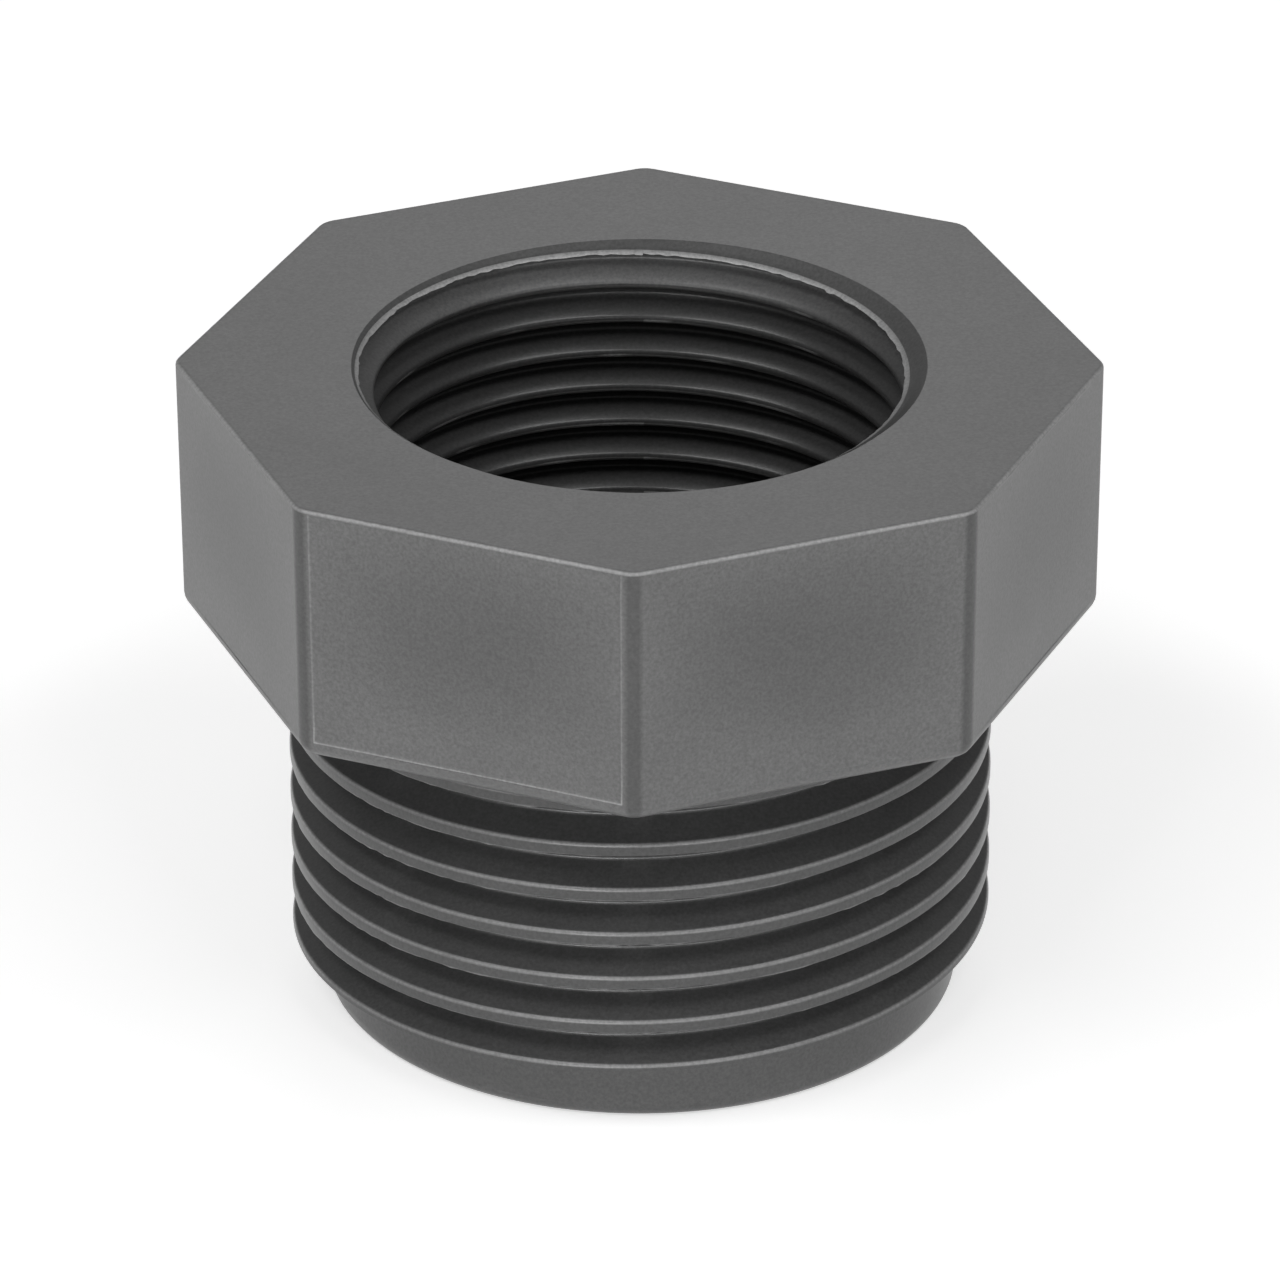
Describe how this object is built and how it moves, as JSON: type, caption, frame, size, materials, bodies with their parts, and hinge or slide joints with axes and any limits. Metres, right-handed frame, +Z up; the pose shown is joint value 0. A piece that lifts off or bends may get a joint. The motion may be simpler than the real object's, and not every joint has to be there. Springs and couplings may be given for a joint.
{
  "type": "threaded reducing bush",
  "caption": "Plastic reducing bush with an octagonal wrench head, a male pipe thread below it and a smaller threaded hole through the head, for joining pipe fittings of two sizes.",
  "frame": {"origin": "centre of the spigot's lower end face", "axes": "+Z up the axis towards the head; the head's corners lie on the X and Y axes; the picture looks along +Y"},
  "size_m": [0.0428, 0.0428, 0.0316],
  "materials": {
    "moulded_plastic": "fine matt moulded PVC-U, dark grey"
  },
  "bodies": {
    "root": {"bushing": "moulded_plastic"}
  },
  "joints": []
}
